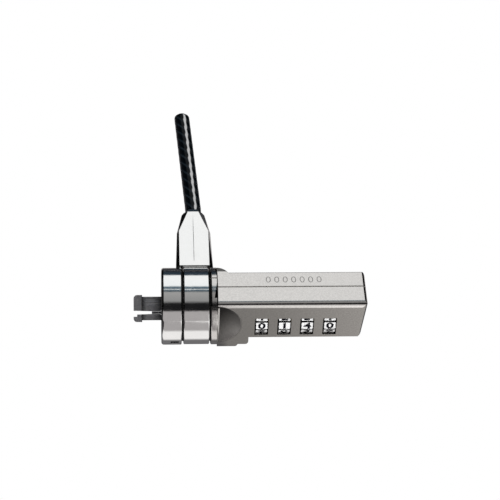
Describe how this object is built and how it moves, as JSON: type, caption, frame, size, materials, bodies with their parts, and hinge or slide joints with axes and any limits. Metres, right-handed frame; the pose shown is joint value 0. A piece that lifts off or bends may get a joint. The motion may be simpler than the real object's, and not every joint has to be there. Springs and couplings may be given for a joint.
{
  "type": "laptop cable lock",
  "caption": "Combination cable lock for a computer: square dial housing, round nose knob with spreading claws, swivel collar and steel cable stub.",
  "frame": {"origin": "centre of the nose face, on the axis shared by the nose knob and the swivel collar", "axes": "+X along the housing, away from the computer; +Z out of the plain top face; -Y out of the dial face; the cable leaves towards +Y at rest"},
  "size_m": [0.0665, 0.094, 0.022],
  "materials": {
    "housing": "satin pearl nickel plating on a zinc die casting",
    "polished": "polished nickel chrome on a zinc die casting",
    "claw_steel": "dark hardened steel, lengthwise grind marks",
    "mechanism_steel": "turned and milled steel",
    "small_steel": "bright steel pins and screws",
    "spring_steel": "spring steel",
    "washer": "black low-friction plastic",
    "dial": "black moulded dial with white printed digit flats",
    "code_sleeve": "turned brass",
    "ferrule": "crimped brass",
    "rope": "twisted galvanised steel strands",
    "sheath": "smoke-coloured clear vinyl over the strands"
  },
  "bodies": {
    "housing": {"front_shell": "housing", "rear_shell": "housing", "shell_screws": "small_steel", "barrel": "mechanism_steel", "claw_pins": "small_steel", "detent_spring": "spring_steel", "spindle_spring": "spring_steel"},
    "knob": {"nose_knob": "polished", "knob_washer": "washer"},
    "collar": {"swivel_collar": "polished", "collar_washer": "washer", "cable_ferrule": "ferrule", "cable_core": "rope", "cable_sheath": "sheath"},
    "plunger": {"plunger": "mechanism_steel", "follower_pin": "small_steel", "code_spindle": "mechanism_steel", "plate_screw": "small_steel"},
    "upper_claw": {"upper_claw": "claw_steel"},
    "lower_claw": {"lower_claw": "claw_steel"},
    "dial_1": {"dial_1": "dial", "code_sleeve_1": "code_sleeve"},
    "dial_2": {"dial_2": "dial", "code_sleeve_2": "code_sleeve"},
    "dial_3": {"dial_3": "dial", "code_sleeve_3": "code_sleeve"},
    "dial_4": {"dial_4": "dial", "code_sleeve_4": "code_sleeve"},
    "reset_screw": {"reset_screw": "small_steel"}
  },
  "joints": [
    {"name": "knob_turn", "type": "hinge", "parent": "housing", "child": "knob", "pos_m": [0.003, 0, 0], "axis": [1, 0, 0], "range_deg": [0, 90]},
    {"name": "plunger_slide", "type": "slide", "parent": "housing", "child": "plunger", "axis": [1, 0, 0], "range_m": [0, 0.003], "deforming": ["spindle_spring"]},
    {"name": "upper_claw_pivot", "type": "hinge", "parent": "housing", "child": "upper_claw", "pos_m": [0.0015, 0.00049, 0.00049], "axis": [0, 0.7071, -0.7071], "range_deg": [-3.01, 0]},
    {"name": "lower_claw_pivot", "type": "hinge", "parent": "housing", "child": "lower_claw", "pos_m": [0.0015, -0.00219, -0.00219], "axis": [0, 0.7071, -0.7071], "range_deg": [0, 3.01]},
    {"name": "collar_swivel", "type": "hinge", "parent": "knob", "child": "collar", "pos_m": [0.00995, 0, 0], "axis": [1, 0, 0], "continuous": true},
    {"name": "dial_1_turn", "type": "hinge", "parent": "housing", "child": "dial_1", "pos_m": [0.0286, -0.0027, -0.0016], "axis": [1, 0, 0], "continuous": true},
    {"name": "dial_2_turn", "type": "hinge", "parent": "housing", "child": "dial_2", "pos_m": [0.0351, -0.0027, -0.0016], "axis": [1, 0, 0], "continuous": true},
    {"name": "dial_3_turn", "type": "hinge", "parent": "housing", "child": "dial_3", "pos_m": [0.0416, -0.0027, -0.0016], "axis": [1, 0, 0], "continuous": true},
    {"name": "dial_4_turn", "type": "hinge", "parent": "housing", "child": "dial_4", "pos_m": [0.0481, -0.0027, -0.0016], "axis": [1, 0, 0], "continuous": true},
    {"name": "reset_turn", "type": "hinge", "parent": "housing", "child": "reset_screw", "pos_m": [0.055, 0.0036, 0.0014], "axis": [1, 0, 0], "range_deg": [0, 90]}
  ],
  "couplings": [
    {"joint": "plunger_slide", "follows": "knob_turn", "m_per_rad": 0.0019099},
    {"joint": "upper_claw_pivot", "follows": "knob_turn", "ratio": -0.033333},
    {"joint": "lower_claw_pivot", "follows": "knob_turn", "ratio": 0.033333}
  ]
}
